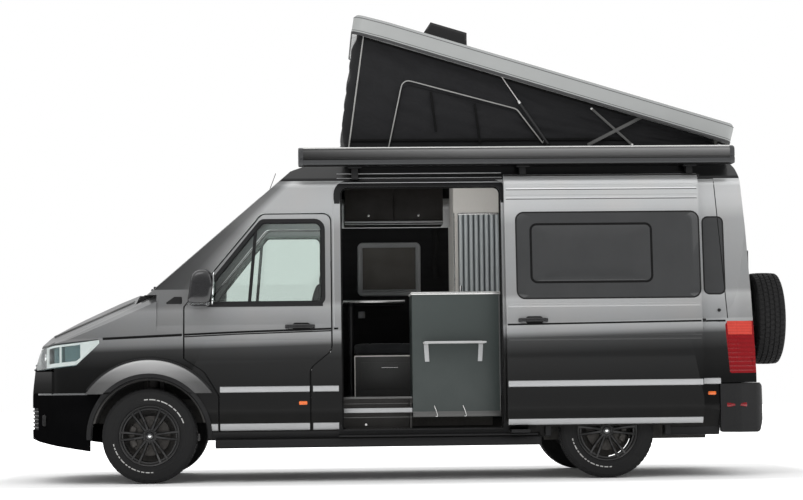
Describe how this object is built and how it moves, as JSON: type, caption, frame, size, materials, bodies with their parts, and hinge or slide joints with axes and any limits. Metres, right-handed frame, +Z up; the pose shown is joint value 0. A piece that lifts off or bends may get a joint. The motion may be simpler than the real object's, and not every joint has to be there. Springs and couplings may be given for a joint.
{
  "type": "camper van",
  "caption": "High-roof camper van with a lifting roof tent, side awning, kitchen block, rear bed and an open sliding side door, standing on its wheels.",
  "frame": {"origin": "on the ground, at the middle of the overall box in plan", "axes": "front of the van to -X, its left side to -Y, up is +Z"},
  "size_m": [6.1735, 2.43, 3.8112],
  "materials": {
    "graphite_paint": "dark metallic",
    "black_plastic": "grained",
    "clear_glass": "clear, slightly green",
    "dark_glass": "tinted",
    "tyre_rubber": "moulded",
    "black_wheel": "black painted",
    "light_shell": "silver grey",
    "tent_cloth": "black woven",
    "grey_anodised": "anodised",
    "black_steel": "chassis black",
    "bare_steel": "bright",
    "grey_board": "laminated",
    "light_board": "laminated",
    "dark_cloth": "woven",
    "red_lamp": "moulded",
    "clear_lamp": "moulded",
    "cast_iron": "as cast",
    "floor_board": "laminated"
  },
  "bodies": {
    "van_body": {"left_side_panel": "graphite_paint", "right_side_panel": "graphite_paint", "roof_panel": "graphite_paint", "front_fenders": "graphite_paint", "front_bumper": "black_plastic", "grille": "black_plastic", "headlights": "clear_lamp", "tail_lights": "red_lamp", "cowl_panel": "black_plastic", "windscreen": "clear_glass", "floor_pan": "floor_board", "wheel_arch_liners": "black_plastic", "underbody_frame": "black_steel", "rear_axle": "black_steel", "front_suspension": "black_steel", "engine_block": "cast_iron", "fuel_tank": "black_plastic", "exhaust": "bare_steel", "rear_bumper": "black_plastic", "dashboard": "black_plastic", "front_seats": "dark_cloth", "kitchen_unit": "grey_board", "dinette": "light_board", "overhead_cupboards": "grey_board", "washroom_cabin": "light_board", "rear_bed": "dark_cloth", "awning_case": "grey_anodised", "sliding_door": "graphite_paint", "side_windows": "dark_glass", "roof_tent": "tent_cloth"},
    "bonnet_lid": {"bonnet": "graphite_paint"},
    "tray_flap": {"kitchen_tray": "light_board"},
    "left_cab_door": {"left_front_door": "graphite_paint", "left_front_door_glass": "clear_glass", "left_mirror": "black_plastic"},
    "right_cab_door": {"right_front_door": "graphite_paint", "right_front_door_glass": "clear_glass", "right_mirror": "black_plastic"},
    "left_tail_door": {"left_rear_door": "graphite_paint", "left_rear_door_glass": "dark_glass", "spare_tyre": "tyre_rubber", "spare_rim": "black_wheel", "spare_wheel_carrier": "black_steel"},
    "right_tail_door": {"right_rear_door": "graphite_paint", "right_rear_door_glass": "dark_glass"},
    "left_steering_knuckle": {"left_knuckle": "black_steel"},
    "right_steering_knuckle": {"right_knuckle": "black_steel"},
    "pop_top": {"pop_top_shell": "light_shell"},
    "strut_barrels": {"gas_strut_barrels": "black_steel"},
    "strut_rods": {"gas_strut_rods": "bare_steel"},
    "lower_scissor": {"scissor_lower_bars": "bare_steel"},
    "upper_scissor": {"scissor_upper_bars": "bare_steel"},
    "left_front_wheel": {"left_front_tyre": "tyre_rubber", "left_front_rim": "black_wheel"},
    "left_rear_wheel": {"left_rear_tyre": "tyre_rubber", "left_rear_rim": "black_wheel"},
    "right_front_wheel": {"right_front_tyre": "tyre_rubber", "right_front_rim": "black_wheel"},
    "right_rear_wheel": {"right_rear_tyre": "tyre_rubber", "right_rear_rim": "black_wheel"}
  },
  "joints": [
    {"name": "left_front_wheel_spin", "type": "hinge", "parent": "left_steering_knuckle", "child": "left_front_wheel", "pos_m": [-2.063, -0.87, 0.378], "axis": [0, 1, 0], "continuous": true},
    {"name": "left_rear_wheel_spin", "type": "hinge", "parent": "van_body", "child": "left_rear_wheel", "pos_m": [1.577, -0.87, 0.378], "axis": [0, 1, 0], "continuous": true},
    {"name": "left_steering", "type": "hinge", "parent": "van_body", "child": "left_steering_knuckle", "pos_m": [-2.063, -0.79, 0.378], "axis": [0, 0, 1], "range_deg": [-35, 35]},
    {"name": "left_front_door_hinge", "type": "hinge", "parent": "van_body", "child": "left_cab_door", "pos_m": [-1.801, -1.02, 0.9], "axis": [0, 0, -1], "range_deg": [0, 65]},
    {"name": "right_front_wheel_spin", "type": "hinge", "parent": "right_steering_knuckle", "child": "right_front_wheel", "pos_m": [-2.063, 0.87, 0.378], "axis": [0, 1, 0], "continuous": true},
    {"name": "right_rear_wheel_spin", "type": "hinge", "parent": "van_body", "child": "right_rear_wheel", "pos_m": [1.577, 0.87, 0.378], "axis": [0, 1, 0], "continuous": true},
    {"name": "right_steering", "type": "hinge", "parent": "van_body", "child": "right_steering_knuckle", "pos_m": [-2.063, 0.79, 0.378], "axis": [0, 0, 1], "range_deg": [-35, 35]},
    {"name": "right_front_door_hinge", "type": "hinge", "parent": "van_body", "child": "right_cab_door", "pos_m": [-1.801, 1.02, 0.9], "axis": [0, 0, 1], "range_deg": [0, 65]},
    {"name": "left_rear_door_hinge", "type": "hinge", "parent": "van_body", "child": "left_tail_door", "pos_m": [2.817, -0.86, 0.8], "axis": [0.0675, 0, -0.9977], "range_deg": [0, 90]},
    {"name": "right_rear_door_hinge", "type": "hinge", "parent": "van_body", "child": "right_tail_door", "pos_m": [2.817, 0.86, 0.8], "axis": [-0.0675, 0, 0.9977], "range_deg": [0, 180]},
    {"name": "bonnet_hinge", "type": "hinge", "parent": "van_body", "child": "bonnet_lid", "pos_m": [-2.191, 0, 1.495], "axis": [0, 1, 0], "range_deg": [0, 50]},
    {"name": "kitchen_tray_hinge", "type": "hinge", "parent": "van_body", "child": "tray_flap", "pos_m": [0.3615, -0.932, 1.085], "axis": [1, 0, 0], "range_deg": [0, 90]},
    {"name": "pop_top_hinge", "type": "hinge", "parent": "van_body", "child": "pop_top", "pos_m": [2.637, 0, 2.712], "axis": [0, 1, 0], "range_deg": [-16.8, 0], "deforming": ["roof_tent"]},
    {"name": "gas_strut_pivot", "type": "hinge", "parent": "van_body", "child": "strut_barrels", "pos_m": [1.18, 0, 2.706], "axis": [0, 1, 0], "range_deg": [-51.55, 0]},
    {"name": "gas_strut_slide", "type": "slide", "parent": "strut_barrels", "child": "strut_rods", "axis": [-0.5534, 0, 0.8329], "range_m": [-0.2313, 0]},
    {"name": "scissor_lower_pivot", "type": "hinge", "parent": "van_body", "child": "lower_scissor", "pos_m": [1.87, 0, 2.706], "axis": [0, 1, 0], "range_deg": [-39.7, 0]},
    {"name": "scissor_upper_pivot", "type": "hinge", "parent": "pop_top", "child": "upper_scissor", "pos_m": [1.9583, 0, 2.9378], "axis": [0, 1, 0], "range_deg": [0, 43.9]}
  ],
  "couplings": [
    {"joint": "right_steering", "follows": "left_steering", "ratio": 1},
    {"joint": "gas_strut_pivot", "follows": "pop_top_hinge", "ratio": 3.0566},
    {"joint": "gas_strut_slide", "follows": "pop_top_hinge", "m_per_rad": 0.7822},
    {"joint": "scissor_lower_pivot", "follows": "pop_top_hinge", "ratio": 2.35},
    {"joint": "scissor_upper_pivot", "follows": "pop_top_hinge", "ratio": -2.6}
  ]
}
